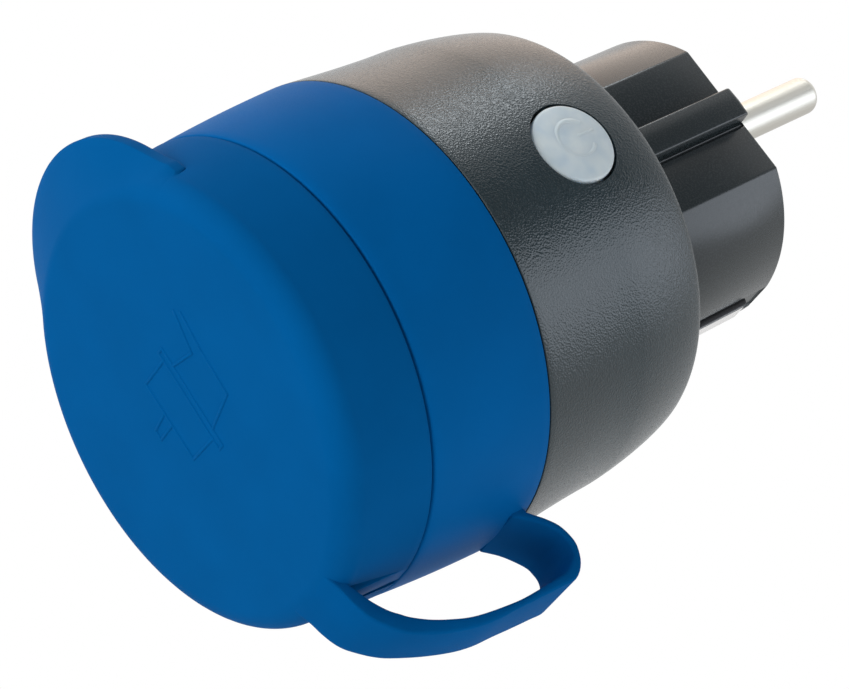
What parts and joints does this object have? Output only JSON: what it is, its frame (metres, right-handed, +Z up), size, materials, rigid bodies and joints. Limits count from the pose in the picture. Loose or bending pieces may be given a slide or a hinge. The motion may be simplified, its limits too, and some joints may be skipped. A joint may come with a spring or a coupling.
{
  "type": "outdoor smart plug",
  "caption": "Round outdoor switched plug adapter with a lidded socket, a side power button and a two-pin earthed mains plug.",
  "frame": {"origin": "middle of the plug's mating face, between the two pins", "axes": "+Y out of the plug face towards the wall, +Z up towards the lid's tab, +X towards the power button"},
  "size_m": [0.0582, 0.0992, 0.0713],
  "materials": {
    "insert_plastic": "smooth satin",
    "nickel": "nickel plated, satin",
    "dark_contact": "dark coated",
    "brass": "plain",
    "seal_rubber": "matt",
    "housing_plastic": "coarse moulded grain",
    "screw_steel": "zinc plated",
    "collar_blue": "fine grain",
    "cup_plastic": "satin",
    "carrier_plastic": "plain",
    "board": "lacquered board",
    "component_plastic": "moulded",
    "can_aluminium": "bright can",
    "varistor_coat": "dipped coat",
    "fuse_glass": "glazed",
    "can_steel": "tin plated",
    "led_lens": "clear lens",
    "button_clear": "milky translucent, satin",
    "lid_blue": "matt soft plastic",
    "strap_blue": "matt soft plastic"
  },
  "bodies": {
    "housing": {"plug_insert": "insert_plastic", "live_pin": "nickel", "neutral_pin": "nickel", "earth_strips": "dark_contact", "earth_bridge": "brass", "insert_seal": "seal_rubber", "rear_housing": "housing_plastic", "housing_seal": "seal_rubber", "housing_screws": "screw_steel", "front_collar": "collar_blue", "socket_cup": "cup_plastic", "socket_earth_clips": "brass", "contact_carrier": "carrier_plastic", "live_sleeve": "brass", "neutral_sleeve": "brass", "main_board": "board", "live_busbar": "brass", "neutral_busbar": "brass", "relay": "component_plastic", "transformer": "component_plastic", "capacitors": "can_aluminium", "varistor": "varistor_coat", "fuse": "fuse_glass", "radio_module": "board", "radio_shield": "can_steel", "button_board": "board", "switch_body": "component_plastic", "status_leds": "led_lens", "button_gasket": "seal_rubber", "strap_rear": "strap_blue"},
    "cover": {"lid": "lid_blue", "lid_seal": "seal_rubber", "strap_front": "strap_blue"},
    "button": {"power_button": "button_clear"},
    "plunger": {"switch_plunger": "component_plastic"},
    "shutter_bar": {"shutter": "carrier_plastic"}
  },
  "joints": [
    {"name": "lid_hinge", "type": "hinge", "parent": "housing", "child": "cover", "pos_m": [0, -0.067, -0.038], "axis": [1, 0, 0], "range_deg": [0, 110]},
    {"name": "button_press", "type": "slide", "parent": "housing", "child": "button", "axis": [-1, 0, 0], "range_m": [0, 0.0006], "stiffness_N_per_m": 800},
    {"name": "plunger_press", "type": "slide", "parent": "housing", "child": "plunger", "axis": [-1, 0, 0], "range_m": [0, 0.0006]},
    {"name": "shutter_turn", "type": "hinge", "parent": "housing", "child": "shutter_bar", "pos_m": [0, -0.0559, 0], "axis": [0, 1, 0], "range_deg": [0, 45], "stiffness_Nm_per_rad": 0.002}
  ],
  "couplings": [
    {"joint": "plunger_press", "follows": "button_press", "ratio": 1}
  ]
}
